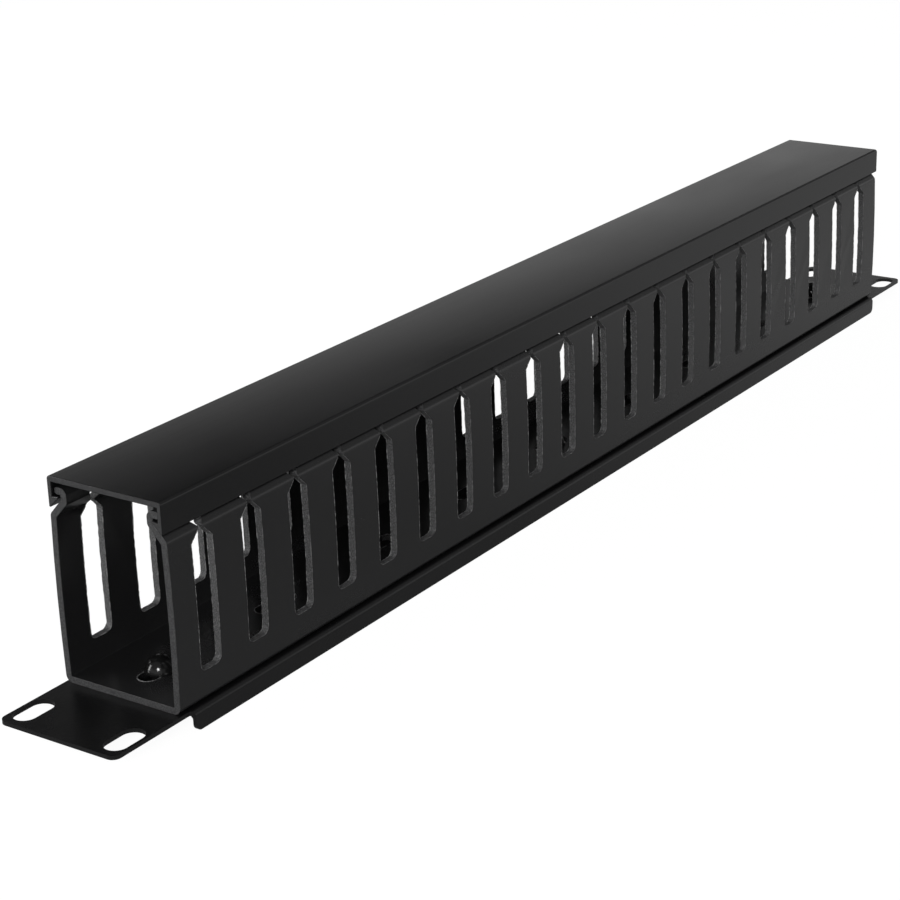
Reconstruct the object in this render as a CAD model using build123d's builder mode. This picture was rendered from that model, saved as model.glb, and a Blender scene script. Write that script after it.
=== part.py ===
"""Rack-mounted cable duct panel: a bent steel panel that carries a slotted duct with a clip-on cover.

Millimetres. X runs along the duct, Y across it with -Y the front, Z up. The panel lies flat on its two
flanges, and the origin is at the middle of that footprint.
"""
import os

from build123d import *

# Rack slots in the ears: rows and overall length are those of a 19-inch rack
PANEL_L = 482.6
RACK_SLOT_PITCH = 31.75
RACK_SLOT_L = 13.0
RACK_SLOT_W = 7.0
RACK_SLOT_INSET = 8.75
RACK_SLOT_EDGE = 4.4

# Rack panel: one folded sheet, with a bare and slightly narrower ear at each end
SHEET_T = 1.2
FLANGE_H = 5.9
BEND_R = 1.5
EAR_L = 30.0
EAR_STEP = 1.4
EAR_CORNER_R = 2.5
STEP_CORNER_R = 1.2
FLANGE_CORNER_R = 2.0
FLANGE_RELIEF_R = 1.6

# Slotted duct: one extrusion, measured up from the face of the panel that it sits on
DUCT_SETBACK = 27.05
DUCT_OFFSET = -1.25
DUCT_W = 40.0
WALL_T = 2.0
WALL_BULGE = 0.5
BASE_R = 2.2
SHOULDER_Z = 48.9
SHOULDER_R = 1.8
SHOULDER_RISE = 4.5
STEM_INSET = 4.2
STEM_H = 1.4
HOOK_REACH = 2.0
HOOK_TIP_BEVEL = 0.5

# Slots between the fingers, with a narrow neck that keeps the cables in
SLOT_PITCH = 20.0
SLOT_OFFSET = -2.25
SLOT_W = 8.3
SLOT_FLOOR_Z = 9.0
SLOT_FLOOR_R = 2.0
NECK_W = 1.5
NECK_LAND = 0.5

# Fixing holes along the duct's floor
FIXING_PITCH = 50.0
FIXING_HOLE_L = 16.0
FIXING_EASE = 0.1

# Clip-on cover
COVER_HEADROOM = 1.5
COVER_TOP_T = 1.7
SKIRT_T = 1.4
COVER_OVERHANG = 1.45
COVER_OFFSET = -0.5
COVER_CORNER_R = 1.0
RIDGE_TIP_T = 0.5
RIDGE_DROP = 0.3
SKIRT_TAIL = 3.1
SKIRT_EDGE_T = 0.5
CLIP_CLEARANCE = 0.3

# Push rivets: a split body and a domed pin that spreads its legs
RIVET_HOLE_D = 5.9
RIVET_CLEARANCE = 0.15
RIVET_FLANGE_D = 9.2
RIVET_FLANGE_T = 0.8
RIVET_RIM_BEVEL = 0.3
RIVET_BARB = 0.55
RIVET_NOSE_L = 3.4
RIVET_NOSE_D = 4.4
RIVET_SPLIT_W = 0.8
PIN_D = 2.8
PIN_CLEARANCE = 0.05
PIN_DOME_D = 8.6
PIN_DOME_H = 3.6
PIN_TIP_BEVEL = 0.6

# Places that follow from the sizes above
PANEL_FACE = Plane.XY.offset(FLANGE_H)
SECTION = Plane(origin=(0, 0, FLANGE_H), x_dir=(0, 1, 0), z_dir=(1, 0, 0))
FRONT_VIEW = Plane(origin=(0, 0, FLANGE_H), x_dir=(1, 0, 0), z_dir=(0, -1, 0))
EAR_W = RACK_SLOT_PITCH + 2 * RACK_SLOT_EDGE
PANEL_W = EAR_W + 2 * EAR_STEP
FLANGE_L = PANEL_L - 2 * EAR_L
RACK_SLOT_X = PANEL_L / 2 - RACK_SLOT_INSET
DUCT_L = PANEL_L - 2 * DUCT_SETBACK
COVER_L = DUCT_L + 2 * COVER_OVERHANG
STEM_Y = DUCT_W / 2 - STEM_INSET
STEM_Z = SHOULDER_Z + SHOULDER_RISE
HOOK_Z = STEM_Z + STEM_H
HOOK_Y = STEM_Y + HOOK_REACH
FIXING_HOLE_W = RIVET_HOLE_D + FIXING_EASE
SLOT_COUNT = int(DUCT_L // SLOT_PITCH)
FIXINGS_PER_SIDE = int((DUCT_L - FIXING_HOLE_L) / 2 // FIXING_PITCH)
RIVET_X = FIXINGS_PER_SIDE * FIXING_PITCH
RIVET_PLACES = {"left": -RIVET_X, "centre": 0.0, "right": RIVET_X}

parts = []


def finish(part, name):
    """Label a finished piece and write it as its own file."""
    part.label = name
    export_step(part, f"parts/{name}.step")
    parts.append(part)


def round_corners(corners):
    """Round the corner nearest to each point, on the line or sketch that is being drawn."""
    for point, radius in corners:
        fillet(vertices().sort_by_distance(point)[0], radius)


os.makedirs("parts", exist_ok=True)

# Rack panel: a shallow channel between two flat ears
with BuildPart() as rack_panel:
    with BuildSketch(SECTION):
        with BuildLine():
            half_w = PANEL_W / 2
            FilletPolyline(
                (-half_w, -FLANGE_H), (-half_w, 0), (half_w, 0), (half_w, -FLANGE_H), radius=BEND_R
            )
            offset(amount=SHEET_T, side=Side.RIGHT, closed=True)
        make_face()
    extrude(amount=FLANGE_L / 2 + FLANGE_RELIEF_R, both=True)

    with BuildSketch(FRONT_VIEW):
        flange_end = (FLANGE_L / 2, -SHEET_T)
        with Locations(flange_end):
            Rectangle(EAR_L, FLANGE_H, align=(Align.MIN, Align.MAX))
        round_corners([(flange_end, FLANGE_RELIEF_R)])
        mirror(about=Plane.YZ)
    extrude(amount=PANEL_W, both=True, mode=Mode.SUBTRACT)
    flange_corners = rack_panel.edges().filter_by(Axis.Y).group_by(Axis.Z)[0]
    fillet(flange_corners, FLANGE_CORNER_R)

    with BuildSketch(PANEL_FACE):
        ear_root = (FLANGE_L / 2, EAR_W / 2)
        with Locations(ear_root):
            Rectangle(EAR_L, EAR_W, align=(Align.MIN, Align.MIN))
        round_corners([(ear_root, STEP_CORNER_R)])
        mirror(about=Plane.YZ)
        mirror(about=Plane.XZ)
    extrude(amount=-FLANGE_H, mode=Mode.SUBTRACT)

    with BuildSketch(PANEL_FACE):
        RectangleRounded(PANEL_L, EAR_W, EAR_CORNER_R)
        Rectangle(FLANGE_L, EAR_W, mode=Mode.SUBTRACT)
    extrude(amount=-SHEET_T)

    with BuildSketch(PANEL_FACE):
        with GridLocations(2 * RACK_SLOT_X, RACK_SLOT_PITCH, 2, 2):
            SlotOverall(RACK_SLOT_L, RACK_SLOT_W)
        with Locations(*[(x, 0) for x in RIVET_PLACES.values()]):
            Circle(RIVET_HOLE_D / 2)
    extrude(amount=-SHEET_T, mode=Mode.SUBTRACT)
finish(rack_panel.part, "rack_panel")

# One slot between two fingers: a straight slot with a narrow neck, open at the top
with BuildSketch() as finger_slot:
    with BuildLine():
        flare = (SLOT_W - NECK_W) / 2
        neck_low = SHOULDER_Z - NECK_LAND / 2
        neck_high = SHOULDER_Z + NECK_LAND / 2
        slot_top = HOOK_Z + 2 * WALL_T
        slot_foot = (SLOT_W / 2, SLOT_FLOOR_Z)
        Polyline(
            (0, SLOT_FLOOR_Z),
            slot_foot,
            (SLOT_W / 2, neck_low - flare),
            (NECK_W / 2, neck_low),
            (NECK_W / 2, neck_high),
            (SLOT_W / 2, neck_high + flare),
            (SLOT_W / 2, slot_top),
            (0, slot_top),
        )
        round_corners([(slot_foot, SLOT_FLOOR_R)])
        Line((0, slot_top), (0, SLOT_FLOOR_Z))
    make_face()
    mirror(about=Plane.YZ)

# Slotted duct: the outer line of half the section, thickened inwards by the wall and mirrored
with BuildPart() as duct_base:
    with BuildSketch(SECTION.offset(DUCT_OFFSET)):
        with BuildLine():
            floor = Line((0, 0), (DUCT_W / 2, 0))
            wall = ThreePointArc(
                floor @ 1, (DUCT_W / 2 + WALL_BULGE, SHOULDER_Z / 2), (DUCT_W / 2, SHOULDER_Z)
            )
            shoulder = Line(wall @ 1, (STEM_Y, STEM_Z))
            stem = Line(shoulder @ 1, (STEM_Y, HOOK_Z))
            hook = Line(stem @ 1, (HOOK_Y, HOOK_Z))
            round_corners([(floor @ 1, BASE_R), (wall @ 1, SHOULDER_R)])
            offset(amount=WALL_T, side=Side.LEFT, closed=True)
        make_face()
        for tip in (hook @ 1, hook @ 1 + Vector(0, WALL_T)):
            chamfer(vertices().sort_by_distance(tip)[0], HOOK_TIP_BEVEL)
        mirror(about=Plane.YZ)
    extrude(amount=DUCT_L / 2, both=True)

    with BuildSketch(FRONT_VIEW):
        with Locations((SLOT_OFFSET, 0)), GridLocations(SLOT_PITCH, 0, SLOT_COUNT, 1):
            add(finger_slot.sketch)
    extrude(amount=DUCT_W, both=True, mode=Mode.SUBTRACT)

    with BuildSketch(PANEL_FACE):
        with GridLocations(FIXING_PITCH, 0, 2 * FIXINGS_PER_SIDE + 1, 1):
            SlotOverall(FIXING_HOLE_L, FIXING_HOLE_W)
    extrude(amount=WALL_T, mode=Mode.SUBTRACT)
finish(duct_base.part, "duct_base")

# Cover: a flat top and two skirts, each with an inward ridge that clips under the duct's hooks
with BuildPart() as duct_cover:
    skirt_in = HOOK_Y + CLIP_CLEARANCE
    skirt_out = skirt_in + SKIRT_T
    ridge_in = STEM_Y + CLIP_CLEARANCE
    ridge_top = HOOK_Z - CLIP_CLEARANCE
    cover_under = HOOK_Z + WALL_T + COVER_HEADROOM
    cover_top = cover_under + COVER_TOP_T
    skirt_foot = ridge_top - RIDGE_DROP - SKIRT_TAIL
    with BuildSketch(SECTION.offset(COVER_OFFSET)):
        with BuildLine():
            Polyline(
                (0, cover_top),
                (skirt_out, cover_top),
                (skirt_out, skirt_foot),
                (skirt_out - SKIRT_EDGE_T, skirt_foot),
                (ridge_in, ridge_top - RIDGE_TIP_T),
                (ridge_in, ridge_top),
                (skirt_in, ridge_top - RIDGE_DROP),
                (skirt_in, cover_under),
                (0, cover_under),
                close=True,
            )
        make_face()
        round_corners([((skirt_out, cover_top), COVER_CORNER_R)])
        mirror(about=Plane.YZ)
    extrude(amount=COVER_L / 2, both=True)
finish(duct_cover.part, "duct_cover")

# Push rivet: its flange sits on the duct's floor and its split legs grip below the sheet
BARREL_D = RIVET_HOLE_D - 2 * RIVET_CLEARANCE
BORE_D = PIN_D + 2 * PIN_CLEARANCE
RIVET_TOP_Z = WALL_T + RIVET_FLANGE_T
BARB_Z = -SHEET_T
NOSE_Z = BARB_Z - RIVET_NOSE_L
with BuildPart() as rivet_body:
    with BuildSketch(FRONT_VIEW):
        with BuildLine():
            flange_rim = (RIVET_FLANGE_D / 2, RIVET_TOP_Z)
            Polyline(
                (BORE_D / 2, RIVET_TOP_Z),
                flange_rim,
                (RIVET_FLANGE_D / 2, WALL_T),
                (BARREL_D / 2, WALL_T),
                (BARREL_D / 2, BARB_Z),
                (RIVET_HOLE_D / 2 + RIVET_BARB, BARB_Z),
                (RIVET_NOSE_D / 2, NOSE_Z),
                (BORE_D / 2, NOSE_Z),
                close=True,
            )
        make_face()
        chamfer(vertices().sort_by_distance(flange_rim)[0], RIVET_RIM_BEVEL)
    revolve(axis=Axis.Z)

    with BuildSketch(PANEL_FACE):
        Rectangle(RIVET_FLANGE_D, RIVET_SPLIT_W)
        Rectangle(RIVET_SPLIT_W, RIVET_FLANGE_D)
    extrude(amount=NOSE_Z, mode=Mode.SUBTRACT)

# Rivet pin: a shank that spreads the legs, under a low dome that covers the flange
with BuildPart() as rivet_pin:
    with BuildSketch(FRONT_VIEW):
        with BuildLine():
            crown = (0, RIVET_TOP_Z + PIN_DOME_H)
            dome_rim = (PIN_DOME_D / 2, RIVET_TOP_Z)
            dome_r = (PIN_DOME_D**2 / 4 + PIN_DOME_H**2) / (2 * PIN_DOME_H)
            shank_tip = (PIN_D / 2, NOSE_Z)
            Polyline(crown, (0, NOSE_Z), shank_tip, (PIN_D / 2, RIVET_TOP_Z), dome_rim)
            RadiusArc(dome_rim, crown, -dome_r)
        make_face()
        chamfer(vertices().sort_by_distance(shank_tip)[0], PIN_TIP_BEVEL)
    revolve(axis=Axis.Z)

for side, x in RIVET_PLACES.items():
    finish(Pos(x, 0, 0) * rivet_body.part, f"rivet_body_{side}")
    finish(Pos(x, 0, 0) * rivet_pin.part, f"rivet_pin_{side}")
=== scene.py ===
# %% [markdown]
# # Cable duct panel
#
# A rack panel of folded black steel carries a black plastic duct. The duct is an extruded U whose walls
# are punched into fingers, and a long cover clips over the finger heads. The construction comes from the
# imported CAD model, in metres, and nothing here moves it. This lesson gives it the surfaces of the real
# thing: edges that catch the light, sawn and punched faces, moulded and coated skins.

import math

import bmesh
import bpy
from mathutils import Matrix, Vector


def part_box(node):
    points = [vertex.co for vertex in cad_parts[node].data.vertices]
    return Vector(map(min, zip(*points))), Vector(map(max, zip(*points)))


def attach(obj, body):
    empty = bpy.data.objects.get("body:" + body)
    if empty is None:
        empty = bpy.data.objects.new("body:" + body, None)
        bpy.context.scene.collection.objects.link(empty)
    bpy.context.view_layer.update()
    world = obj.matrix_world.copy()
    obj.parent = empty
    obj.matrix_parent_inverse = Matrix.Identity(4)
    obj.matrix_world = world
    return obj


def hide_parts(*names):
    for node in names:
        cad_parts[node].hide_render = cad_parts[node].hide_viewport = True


MM = 0.001

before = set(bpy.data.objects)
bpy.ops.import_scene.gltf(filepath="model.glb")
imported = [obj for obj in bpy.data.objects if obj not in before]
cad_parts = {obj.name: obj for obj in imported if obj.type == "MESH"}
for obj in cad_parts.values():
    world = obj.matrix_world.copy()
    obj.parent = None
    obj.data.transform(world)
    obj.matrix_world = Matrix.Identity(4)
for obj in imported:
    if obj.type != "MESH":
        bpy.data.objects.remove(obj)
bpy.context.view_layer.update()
panel_low, panel_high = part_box("rack_panel")
duct_low, duct_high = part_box("duct_base")
print("nodes:", ", ".join(sorted(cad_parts)))
print("panel is", round((panel_high[0] - panel_low[0]) / MM, 1), "mm long")

# %% [markdown]
# ## Camera
#
# The photograph was taken with a long lens from the left front, a little above the object. A pinhole
# camera is fitted to it by its direction, its distance and its roll, and all of them are plain numbers
# here. The target is a point near the middle of the duct.

# %% Place the camera
LENS_MM = 90.82
SENSOR_MM = 36.0
CLIP_START = 0.01
CAMERA_AZIMUTH = -55.211
CAMERA_ELEVATION = 20.605
CAMERA_ROLL = -1.822
CAMERA_DISTANCE = 713.274 * MM
CAMERA_TARGET = Vector((-60.146, 0.0, 25.259)) * MM


def direction(azimuth, elevation):
    """Unit vector from the object towards a place in the studio. Azimuth 0 is the front, -90 the left."""
    turn = math.radians(azimuth)
    lift = math.radians(elevation)
    return Vector((math.sin(turn) * math.cos(lift), -math.cos(turn) * math.cos(lift), math.sin(lift)))


def aimed(place, target, roll=0.0):
    """Matrix of a camera or lamp at a place that looks at a target."""
    back = (place - target).normalized()
    right = Vector((0, 0, 1)).cross(back).normalized()
    up = back.cross(right)
    turn = math.radians(roll)
    axis_x = right * math.cos(turn) + up * math.sin(turn)
    axis_y = up * math.cos(turn) - right * math.sin(turn)
    return Matrix.Translation(place) @ Matrix((axis_x, axis_y, back)).transposed().to_4x4()


camera = bpy.data.objects.new("camera", bpy.data.cameras.new("camera"))
camera.data.lens = LENS_MM
camera.data.sensor_width = SENSOR_MM
camera.data.clip_start = CLIP_START
camera_place = CAMERA_TARGET + direction(CAMERA_AZIMUTH, CAMERA_ELEVATION) * CAMERA_DISTANCE
camera.matrix_world = aimed(camera_place, CAMERA_TARGET, CAMERA_ROLL)
bpy.context.scene.collection.objects.link(camera)
bpy.context.scene.camera = camera
bpy.context.scene.view_settings.view_transform = "Standard"
print("camera at", [round(v / MM) for v in camera_place], "mm")

# %% [markdown]
# ## Shader maths
#
# Materials are easier to read as arithmetic than as a web of nodes. `Wire` holds one output socket and
# turns operators into Math nodes, or into Vector Math nodes for vectors. `NodeBook` holds one node tree,
# and its `node` method makes every other node: settings first, then the values or links of its sockets.

# %% Wrap sockets so that shader maths reads as Python
def is_vector(thing):
    """True for a wire or value that has several parts."""
    if isinstance(thing, Wire):
        return thing.socket.type == "VECTOR"
    return isinstance(thing, (tuple, list, Vector))


class Wire:
    """One output socket of a node tree. An expression on wires adds the nodes that work it out."""

    def __init__(self, book, socket):
        self.book = book
        self.socket = socket

    def _math(self, operation, first, second):
        kind = "ShaderNodeVectorMath" if is_vector(first) or is_vector(second) else "ShaderNodeMath"
        return self.book.node(kind, {"operation": operation}, {0: first, 1: second})

    def __add__(self, other):
        return self._math("ADD", self, other)

    def __radd__(self, other):
        return self._math("ADD", other, self)

    def __sub__(self, other):
        return self._math("SUBTRACT", self, other)

    def __rsub__(self, other):
        return self._math("SUBTRACT", other, self)

    def __mul__(self, other):
        return self._math("MULTIPLY", self, other)

    def __rmul__(self, other):
        return self._math("MULTIPLY", other, self)

    def clamped(self, low, high, to_low=0.0, to_high=1.0):
        """This value carried from one range to another, and held inside it."""
        sockets = {"Value": self, "From Min": low, "From Max": high, "To Min": to_low, "To Max": to_high}
        return self.book.node("ShaderNodeMapRange", {"clamp": True}, sockets)


class NodeBook:
    """A node tree that is being written."""

    def __init__(self, tree):
        self.tree = tree
        self.tree.nodes.clear()

    def node(self, kind, settings=None, sockets=None, output=0):
        """Add a node, apply its settings, fill its sockets, and return one of its outputs as a wire."""
        made = self.tree.nodes.new(kind)
        for name, value in (settings or {}).items():
            setattr(made, name, value)
        for key, value in (sockets or {}).items():
            if isinstance(value, Wire):
                self.tree.links.new(value.socket, made.inputs[key])
            else:
                made.inputs[key].default_value = value
        return Wire(self, made.outputs[output]) if made.outputs else None


print("shader maths ready")

# %% [markdown]
# ## Studio
#
# Black satin plastic has hardly any colour of its own. What makes it readable is what it mirrors at a
# slant: a pale backdrop low behind it, a dim room above that, and the floor in front. So the studio is
# built of those. Light Path tells the floor and the room who looks at them: the camera sees them white,
# and the object mirrors them grey. Four lamps do the rest. The left one falls on sawn ends and punched
# faces, the back one on the far wall, the top one on the panel, and the front one keeps the fingers'
# shoulders from going black under the cover.

# %% Light the studio
FLOOR_SIZE = 12.0
FLOOR_GREY = 0.8
FLOOR_SEEN_SHARE = 0.85
FLOOR_SEEN_WHITE = 1.12
FLOOR_MIRRORED_GREYS = (0.15, 0.40)
FLOOR_MIRRORED_ENDS = (-0.06, 0.22)
FLOOR_BACK_GREY = 0.4
FLOOR_BACK_ENDS = (0.03, 0.14)
ROOM_GREY = 0.02
CEILING_GREY = 0.2
CEILING_FROM = (-70, 50)
CEILING_SPREAD = (0.3, 0.9)
BACKDROP_GREY = 0.50
BACKDROP_TOP = 13.5
BACKDROP_FADE = 7.0
LAMPS = {
    "top_lamp": {"from": (-20, 75), "distance": 1.6, "size": 1.0, "watts": 1.5},
    "left_lamp": {"from": (-68, 24), "distance": 3.0, "size": 0.7, "watts": 42.0},
    "back_lamp": {"from": (-148, 12), "distance": 2.0, "size": 1.2, "watts": 30.0},
    "front_lamp": {"from": (60, 40), "distance": 1.7, "size": 2.1, "watts": 2.7},
}
LAMP_TARGET = Vector((0, 0, 0))


def make_floor():
    """A floor that keeps the object's shadow. The object mirrors it lighter to the right and behind."""
    mesh = bpy.data.meshes.new("floor")
    half = FLOOR_SIZE / 2
    corners = [(-half, -half, 0), (half, -half, 0), (half, half, 0), (-half, half, 0)]
    mesh.from_pydata(corners, [], [(0, 1, 2, 3)])
    floor = bpy.data.objects.new("floor", mesh)
    bpy.context.scene.collection.objects.link(floor)
    paint = bpy.data.materials.new("floor_paint")
    paint.use_nodes = True
    book = NodeBook(paint.node_tree)
    matt = book.node("ShaderNodeBsdfDiffuse", {}, {"Color": (FLOOR_GREY, FLOOR_GREY, FLOOR_GREY, 1)})
    camera_ray = book.node("ShaderNodeLightPath", output="Is Camera Ray")
    mirror_ray = book.node("ShaderNodeLightPath", output="Is Glossy Ray")
    place = book.node("ShaderNodeTexCoord", output="Object")
    along = book.node("ShaderNodeSeparateXYZ", {}, {"Vector": place}, output="X")
    behind = book.node("ShaderNodeSeparateXYZ", {}, {"Vector": place}, output="Y")
    front_grey = along.clamped(*FLOOR_MIRRORED_ENDS, *FLOOR_MIRRORED_GREYS)
    back_grey = behind.clamped(*FLOOR_BACK_ENDS, 0.0, FLOOR_BACK_GREY)
    mirrored = book.node("ShaderNodeMath", {"operation": "MAXIMUM"}, {0: front_grey, 1: back_grey})
    strength = camera_ray * FLOOR_SEEN_WHITE + mirror_ray * mirrored
    glow = book.node("ShaderNodeEmission", {}, {"Color": (1, 1, 1, 1), "Strength": strength})
    share = camera_ray * FLOOR_SEEN_SHARE + mirror_ray * FLOOR_SEEN_SHARE
    mixed = book.node("ShaderNodeMixShader", {}, {0: share, 1: matt, 2: glow})
    book.node("ShaderNodeOutputMaterial", {}, {"Surface": mixed})
    mesh.materials.append(paint)


def make_world():
    """A dim room with a low backdrop and a lighter ceiling on the left. The camera sees it white."""
    world = bpy.data.worlds.new("studio")
    bpy.context.scene.world = world
    world.use_nodes = True
    book = NodeBook(world.node_tree)
    heading = book.node("ShaderNodeTexCoord", output="Generated")
    height = book.node("ShaderNodeSeparateXYZ", {}, {"Vector": heading}, output="Z")
    top = math.sin(math.radians(BACKDROP_TOP))
    faded = math.sin(math.radians(BACKDROP_TOP + BACKDROP_FADE))
    towards = {0: heading, 1: direction(*CEILING_FROM)}
    nearness = book.node("ShaderNodeVectorMath", {"operation": "DOT_PRODUCT"}, towards, output="Value")
    above = nearness.clamped(*CEILING_SPREAD, ROOM_GREY, CEILING_GREY)
    room = height.clamped(top, faded, BACKDROP_GREY, above)
    camera_ray = book.node("ShaderNodeLightPath", output="Is Camera Ray")
    strength = room * (1 - camera_ray) + camera_ray
    glow = book.node("ShaderNodeBackground", {}, {"Color": (1, 1, 1, 1), "Strength": strength})
    book.node("ShaderNodeOutputWorld", {}, {"Surface": glow})


def make_lamps():
    """Square soft lamps that look at the middle of the panel's footprint."""
    for name, lamp in LAMPS.items():
        light = bpy.data.lights.new(name, "AREA")
        light.size = lamp["size"]
        light.energy = lamp["watts"]
        holder = bpy.data.objects.new(name, light)
        holder.matrix_world = aimed(direction(*lamp["from"]) * lamp["distance"], LAMP_TARGET)
        bpy.context.scene.collection.objects.link(holder)


make_floor()
make_world()
make_lamps()
print("studio has", len(LAMPS), "lamps")

# %% [markdown]
# ## Edges that catch the light
#
# A CAD solid has perfectly sharp edges, and a real one never has. The thin bright lines along the cover
# and the fingers are light caught on edges a tenth or two of a millimetre round. On the duct they are also
# a painted highlight, because its eased faces are given a paler colour. The duct and its cover are each
# copied, their loose triangles are merged, their flat faces are joined, and a Bevel modifier rounds what
# is still sharp. The copy stands for the CAD node, at the same place. The sheared edges of the panel stay
# as the CAD has them.

# %% Ease the edges of the CAD pieces
MERGE_DISTANCE = 0.002 * MM
SLIVER_LENGTH = 0.001 * MM
FLAT_ANGLE = math.radians(0.5)
SHARP_ANGLE = math.radians(28)
EASED_EDGES = {"duct_base": 0.14 * MM, "duct_cover": 0.2 * MM}
EDGE_SEGMENTS = 2


def eased_copy(node, slots, sort_face):
    """A copy of a CAD node with eased edges in its last slot. sort_face gives each other face its slot."""
    book = bmesh.new()
    book.from_mesh(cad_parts[node].data)
    bmesh.ops.remove_doubles(book, verts=book.verts, dist=MERGE_DISTANCE)
    bmesh.ops.dissolve_limit(book, angle_limit=FLAT_ANGLE, verts=book.verts, edges=book.edges)
    for face in book.faces:
        face.material_index = sort_face(face.calc_center_median(), face.normal)
        face.smooth = True
    mesh = bpy.data.meshes.new(node + "_skin")
    book.to_mesh(mesh)
    book.free()
    for slot in slots:
        mesh.materials.append(slot)
    mesh.set_sharp_from_angle(angle=SHARP_ANGLE)
    skin = bpy.data.objects.new(node + "_skin", mesh)
    bpy.context.scene.collection.objects.link(skin)
    bevel = skin.modifiers.new("eased edges", "BEVEL")
    bevel.width = EASED_EDGES[node]
    bevel.segments = EDGE_SEGMENTS
    bevel.limit_method = "ANGLE"
    bevel.angle_limit = SHARP_ANGLE
    bevel.use_clamp_overlap = False
    bevel.harden_normals = True
    # The eased faces take the last slot. On the duct that slot is a paler colour, a painted highlight
    # along the edges.
    bevel.material = len(slots) - 1
    plain_mesh(skin)
    remove_slivers(skin.data)
    return skin


def plain_mesh(shaped):
    """Replace an object's modifiers by the mesh that they make."""
    bpy.context.view_layer.update()
    evaluated = shaped.evaluated_get(bpy.context.evaluated_depsgraph_get())
    finished = bpy.data.meshes.new_from_object(evaluated)
    shaped.modifiers.clear()
    shaped.data = finished


def remove_slivers(mesh):
    """Close the faces without area that a bevel leaves where two curved edges meet."""
    book = bmesh.new()
    book.from_mesh(mesh)
    bmesh.ops.dissolve_degenerate(book, dist=SLIVER_LENGTH, edges=book.edges)
    book.to_mesh(mesh)
    book.free()


print("edges eased by", {node: round(width / MM, 2) for node, width in EASED_EDGES.items()}, "mm")

# %% [markdown]
# ## Plastic and paint
#
# The duct and its cover are rigid PVC, drawn through a die. The skin is satin, with faint lines along
# the length and a very fine grain. Where the skin is punched or sawn, the cut is rougher and greyer.
# The panel has a powder coat, whose small bumps come from the powder as it melts. The rivets are
# moulded nylon and glossy.

# %% Write the finishes
# The Mix node has sockets A, B and Result for each kind of value, so its colour ones go by number.
MIX_SHARE = 0
MIX_FIRST = 6
MIX_SECOND = 7
MIX_RESULT = 2
NOISE_MIDDLE = (0.3, 0.7)
DRAWN_GLOSS_CHANGE = 0.04
DRAWN_GRAIN_ROUGHNESS = 0.05
DRAWN_LINE_SHARE = 0.85
DRAWN_DEPTH = 0.02 * MM
CUT_SPECKLE = (0.42, 0.62)
CUT_ROUGHNESS = 0.62
COAT_ROUGHNESS = (0.26, 0.32)
COAT_DEPTH = 0.03 * MM
NYLON_ROUGHNESS = (0.12, 0.2)
NYLON_DEPTH = 0.04 * MM


def new_finish(name):
    """An empty material and the book that writes its nodes."""
    material = bpy.data.materials.new(name)
    material.use_nodes = True
    return material, NodeBook(material.node_tree)


def grain(book, scale, stretch=(1, 1, 1), detail=2.0):
    """Noise from 0 to 1 on Object coordinates, in grains per millimetre along each axis."""
    place = book.node("ShaderNodeTexCoord", output="Object")
    per_metre = tuple(scale / MM * along for along in stretch)
    scaled = place * per_metre
    settings = {"noise_dimensions": "3D"}
    return book.node("ShaderNodeTexNoise", settings, {"Vector": scaled, "Scale": 1.0, "Detail": detail})


def blend(book, share, first, second):
    """A colour that goes from first to second as share goes from 0 to 1."""
    sockets = {MIX_SHARE: share, MIX_FIRST: (*first, 1), MIX_SECOND: (*second, 1)}
    return book.node("ShaderNodeMix", {"data_type": "RGBA"}, sockets, MIX_RESULT)


def close_finish(book, colour, roughness, height, depth, gloss=0.5):
    """Finish a material with a Principled surface and a bump of the given depth in metres."""
    bump = book.node("ShaderNodeBump", {}, {"Height": height, "Distance": depth, "Strength": 1.0})
    sockets = {"Base Color": colour, "Roughness": roughness, "Normal": bump, "Specular IOR Level": gloss}
    surface = book.node("ShaderNodeBsdfPrincipled", {}, sockets)
    book.node("ShaderNodeOutputMaterial", {}, {"Surface": surface})


def drawn_pvc(name, dark, light, roughness, gloss=0.5):
    """Satin extruded PVC: lines drawn along X, a fine grain, and slow patches of more or less gloss."""
    material, book = new_finish(name)
    lines = grain(book, 1.4, stretch=(0.006, 1, 1), detail=4.0)
    fine = grain(book, 3.0)
    patches = grain(book, 0.035, stretch=(0.4, 1, 1), detail=3.0)
    colour = blend(book, patches, dark, light)
    satin = (roughness - DRAWN_GLOSS_CHANGE, roughness + DRAWN_GLOSS_CHANGE)
    rough = patches.clamped(*NOISE_MIDDLE, *satin) + fine * DRAWN_GRAIN_ROUGHNESS
    height = lines * DRAWN_LINE_SHARE + fine * (1 - DRAWN_LINE_SHARE)
    close_finish(book, colour, rough, height, DRAWN_DEPTH, gloss)
    return material


def cut_pvc(name, dark, light, per_mm, depth):
    """Punched or sawn PVC: greyer than the skin, rough, and speckled with torn grains."""
    material, book = new_finish(name)
    torn = grain(book, per_mm, detail=5.0)
    speckle = torn.clamped(*CUT_SPECKLE)
    colour = blend(book, speckle, dark, light)
    close_finish(book, colour, CUT_ROUGHNESS, torn, depth)
    return material


def powder_coat(name, dark, light):
    """Satin powder coat: small soft bumps, and slow patches in the gloss."""
    material, book = new_finish(name)
    peel = grain(book, 1.1, detail=2.0)
    patches = grain(book, 0.05, detail=2.0)
    colour = blend(book, patches, dark, light)
    rough = patches.clamped(*NOISE_MIDDLE, *COAT_ROUGHNESS)
    close_finish(book, colour, rough, peel, COAT_DEPTH)
    return material


def moulded_nylon(name, dark, light):
    """Glossy moulded nylon with a slight ripple."""
    material, book = new_finish(name)
    ripple = grain(book, 0.6, detail=2.0)
    fine = grain(book, 4.0)
    colour = blend(book, ripple, dark, light)
    rough = fine.clamped(*NOISE_MIDDLE, *NYLON_ROUGHNESS)
    close_finish(book, colour, rough, ripple, NYLON_DEPTH)
    return material


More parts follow.
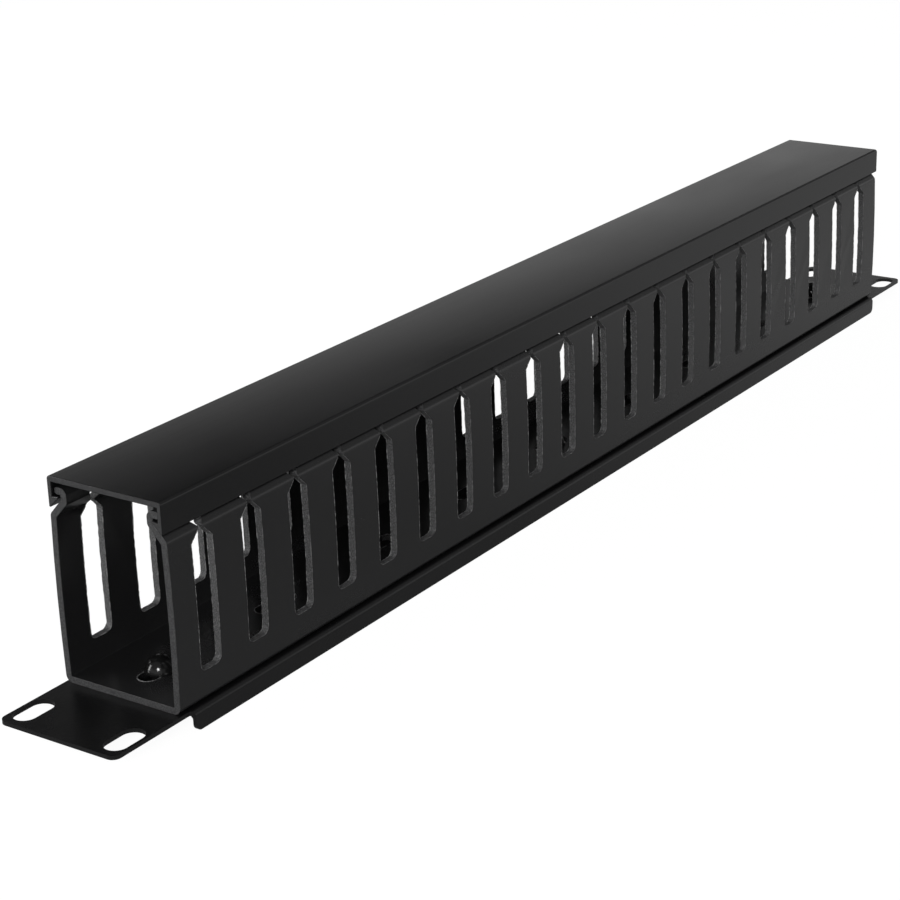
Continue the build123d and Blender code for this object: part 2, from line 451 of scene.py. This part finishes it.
duct_skin = drawn_pvc("duct_pvc_skin", (0.013, 0.013, 0.0135), (0.017, 0.017, 0.0175), 0.22)
duct_punched = cut_pvc("duct_pvc_punched", (0.026, 0.026, 0.027), (0.105, 0.105, 0.106), 2.6, 0.10 * MM)
duct_sawn = cut_pvc("duct_pvc_sawn", (0.014, 0.014, 0.015), (0.050, 0.050, 0.051), 3.0, 0.06 * MM)
# Painted highlight: the duct's eased edges get this paler colour, so they read lighter than the skin.
duct_edge_painted_highlight = cut_pvc("duct_pvc_edge_painted_highlight", (0.020, 0.020, 0.021), (0.050, 0.050, 0.051), 2.5, 0.02 * MM)
duct_burr = cut_pvc("duct_pvc_burr", (0.050, 0.050, 0.051), (0.26, 0.26, 0.26), 1.5, 0.02 * MM)
cover_skin = drawn_pvc("cover_pvc_skin", (0.006, 0.006, 0.0063), (0.009, 0.009, 0.0095), 0.17, 0.44)
cover_cut = cut_pvc("cover_pvc_sawn", (0.012, 0.012, 0.013), (0.026, 0.026, 0.027), 3.0, 0.02 * MM)
panel_coat = powder_coat("panel_powder_coat", (0.004, 0.004, 0.0043), (0.006, 0.006, 0.0064))
rivet_nylon = moulded_nylon("rivet_gloss_nylon", (0.006, 0.006, 0.006), (0.009, 0.009, 0.009))
print("finishes:", ", ".join(m.name for m in bpy.data.materials if m.users or m.use_fake_user))

# %% [markdown]
# ## Dress the pieces
#
# Which faces are cut and which are skin follows from how the piece is made. An extrusion's skin never
# faces along its own length, so every face that looks along X is a saw cut or a punched jamb, and the
# slots' floors are the only punched faces that look straight up inside a wall. The duct's eased edges
# are painted paler than its skin as a painted highlight, apart from the fingers' long bends, which the
# die draws and which keep the skin's colour.

# %% Give each piece its skin
SKIN = 0
SAWN = 1
PUNCHED = 2
CUT_SLANT = 0.3
BEND_SLANT = 0.1
END_MARGIN = 1.0 * MM
SLOT_FLOOR_HEIGHT = 9.0 * MM
SLOT_FLOOR_BAND = 0.5 * MM
WALL_INSIDE = 17.0 * MM


def duct_face(centre, normal):
    """Skin, sawn or punched, for a face of the duct."""
    if abs(normal.x) > CUT_SLANT:
        inside = duct_low[0] + END_MARGIN < centre.x < duct_high[0] - END_MARGIN
        return PUNCHED if inside else SAWN
    floor_of_slot = abs(centre.z - panel_high[2] - SLOT_FLOOR_HEIGHT) < SLOT_FLOOR_BAND
    return PUNCHED if floor_of_slot and abs(centre.y) > WALL_INSIDE and normal.z > CUT_SLANT else SKIN


def cover_face(centre, normal):
    """Skin or sawn, for a face of the cover."""
    return SAWN if abs(normal.x) > CUT_SLANT else SKIN


def keep_bends_without_painted_highlight(mesh):
    """Give the fingers' long bends the skin's colour, without the painted highlight of the other edges."""
    lowest = panel_high[2] + SLOT_FLOOR_HEIGHT + SLOT_FLOOR_BAND
    for face in mesh.polygons:
        if abs(face.normal.x) < BEND_SLANT and face.center.z > lowest:
            face.material_index = SKIN


duct_skin_piece = eased_copy("duct_base", [duct_skin, duct_sawn, duct_punched, duct_edge_painted_highlight], duct_face)
keep_bends_without_painted_highlight(duct_skin_piece.data)
cover_skin_piece = eased_copy("duct_cover", [cover_skin, cover_cut, cover_skin], cover_face)

DRESSED = {
    "duct_base": (duct_skin_piece, "carrier", "duct_pvc"),
    "duct_cover": (cover_skin_piece, "cover", "cover_pvc"),
}
for node, (piece, body, slot) in DRESSED.items():
    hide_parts(node)
    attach(piece, body)
    print(piece.name, "has", len(piece.data.polygons), "faces")

for name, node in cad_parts.items():
    if name not in DRESSED:
        node.data.materials.clear()
        node.data.materials.append(rivet_nylon if name.startswith("rivet") else panel_coat)
        print(name, "wears", node.data.materials[0].name)

# %% [markdown]
# ## Burrs round the punched holes
#
# The punch tears the plastic a little as it leaves, so a fine pale bead runs round every slot, on both
# faces of both walls, and round the fixing holes in the floor. Its path is the CAD duct's own edges.
# Geometry Nodes lay a bead of uneven thickness along them, thinner on the walls' outer faces, and the
# piece then keeps the mesh that they made.

# %% Raise a burr along the punched edges
BURR_SIZES = {"Spacing": 0.8 * MM, "Radius": 0.24 * MM, "Unevenness": 0.8, "Grain": 0.9 / MM}
BURR_TOP = 47.5 * MM
WALL_MIDDLE = (18.2 * MM, 19.5 * MM)
OUTSIDE_SHARE = 0.5
TORN_RANGE = (0.35, 0.65)
RING_SIDES = 4
DUCT_FLOOR = 1.5 * MM
HOLE_BAND = 4.0 * MM
NEARLY_FLAT = 0.9


def is_burred(edge):
    """True for an edge that a punch has cut: round a slot in a wall, or on top of a fixing hole."""
    middle = (edge.verts[0].co + edge.verts[1].co) / 2
    height = middle.z - panel_high[2]
    if not (duct_low[0] + END_MARGIN < middle.x < duct_high[0] - END_MARGIN and height < BURR_TOP):
        return False
    normals = [face.normal for face in edge.link_faces]
    if abs(middle.y) > WALL_INSIDE:
        return len({duct_face(middle, normal) for normal in normals}) > 1
    level = sum(normal.z > NEARLY_FLAT for normal in normals)
    return level == 1 and height > DUCT_FLOOR and abs(middle.y) < HOLE_BAND


def punched_edges():
    """A mesh of the punched edges alone."""
    book = bmesh.new()
    book.from_mesh(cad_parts["duct_base"].data)
    bmesh.ops.remove_doubles(book, verts=book.verts, dist=MERGE_DISTANCE)
    plain = [edge for edge in book.edges if not is_burred(edge)]
    bmesh.ops.delete(book, geom=plain, context="EDGES_FACES")
    loose = [vert for vert in book.verts if not vert.link_edges]
    bmesh.ops.delete(book, geom=loose, context="VERTS")
    mesh = bpy.data.meshes.new("slot_burrs")
    book.to_mesh(mesh)
    book.free()
    return mesh


def burr_group(material):
    """A node group that lays an uneven bead along the edges that it is given."""
    group = bpy.data.node_groups.new("burr", "GeometryNodeTree")
    group.interface.new_socket("Edges", in_out="INPUT", socket_type="NodeSocketGeometry")
    for name in BURR_SIZES:
        group.interface.new_socket(name, in_out="INPUT", socket_type="NodeSocketFloat")
    group.interface.new_socket("Burr", in_out="OUTPUT", socket_type="NodeSocketGeometry")
    book = NodeBook(group)
    edges, spacing, radius, unevenness, per_metre = [
        book.node("NodeGroupInput", output=place) for place in range(1 + len(BURR_SIZES))
    ]
    line = book.node("GeometryNodeMeshToCurve", {}, {"Mesh": edges})
    even = book.node("GeometryNodeResampleCurve", {"mode": "LENGTH"}, {"Curve": line, "Length": spacing})
    place = book.node("GeometryNodeInputPosition")
    torn = book.node("ShaderNodeTexNoise", {}, {"Vector": place, "Scale": per_metre, "Detail": 2.0})
    across = book.node("ShaderNodeSeparateXYZ", {}, {"Vector": place}, output="Y")
    outwards = book.node("ShaderNodeMath", {"operation": "ABSOLUTE"}, {0: across})
    share = outwards.clamped(*WALL_MIDDLE, 1.0, OUTSIDE_SHARE)
    thickness = radius * share * (1 - torn.clamped(*TORN_RANGE) * unevenness)
    ring = book.node("GeometryNodeCurvePrimitiveCircle", {}, {"Resolution": RING_SIDES, "Radius": 1.0})
    sockets = {"Curve": even, "Profile Curve": ring, "Scale": thickness, "Fill Caps": True}
    bead = book.node("GeometryNodeCurveToMesh", {}, sockets)
    real = book.node("GeometryNodeRealizeInstances", {}, {"Geometry": bead})
    painted = book.node("GeometryNodeSetMaterial", {}, {"Geometry": real, "Material": material})
    book.node("NodeGroupOutput", {}, {"Burr": painted})
    return group


slot_burrs = bpy.data.objects.new("slot_burrs", punched_edges())
bpy.context.scene.collection.objects.link(slot_burrs)
burr_modifier = slot_burrs.modifiers.new("burr", "NODES")
burr_modifier.node_group = burr_group(duct_burr)
for item in burr_modifier.node_group.interface.items_tree:
    if item.name in BURR_SIZES:
        burr_modifier[item.identifier] = BURR_SIZES[item.name]
plain_mesh(slot_burrs)
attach(slot_burrs, "carrier")
print("burrs have", len(slot_burrs.data.polygons), "faces")
